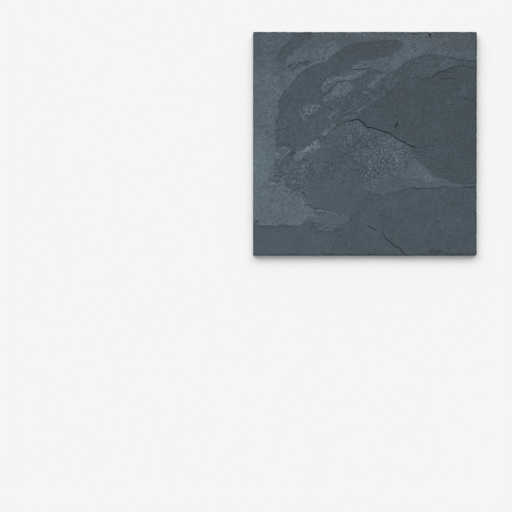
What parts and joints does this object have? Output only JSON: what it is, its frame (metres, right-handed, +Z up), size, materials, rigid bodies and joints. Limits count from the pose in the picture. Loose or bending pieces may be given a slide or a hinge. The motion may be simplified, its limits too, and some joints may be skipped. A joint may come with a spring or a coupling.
{
  "type": "slate tile",
  "caption": "Square tile of natural slate, riven on top with stepped cleavage beds and a crack, ground flat on the back and sawn at its edges, for floors and walls.",
  "frame": {"origin": "middle of the ground back, which is the bottom of the tile as it lies", "axes": "+Z up through the thickness, from the ground back to the riven face; +X across the face and +Y up the face, along the sawn edges"},
  "size_m": [0.3, 0.3, 0.01],
  "materials": {
    "riven_slate": "riven blue-grey slate, matt to satin"
  },
  "bodies": {
    "root": {"slate_tile": "riven_slate"}
  },
  "joints": []
}
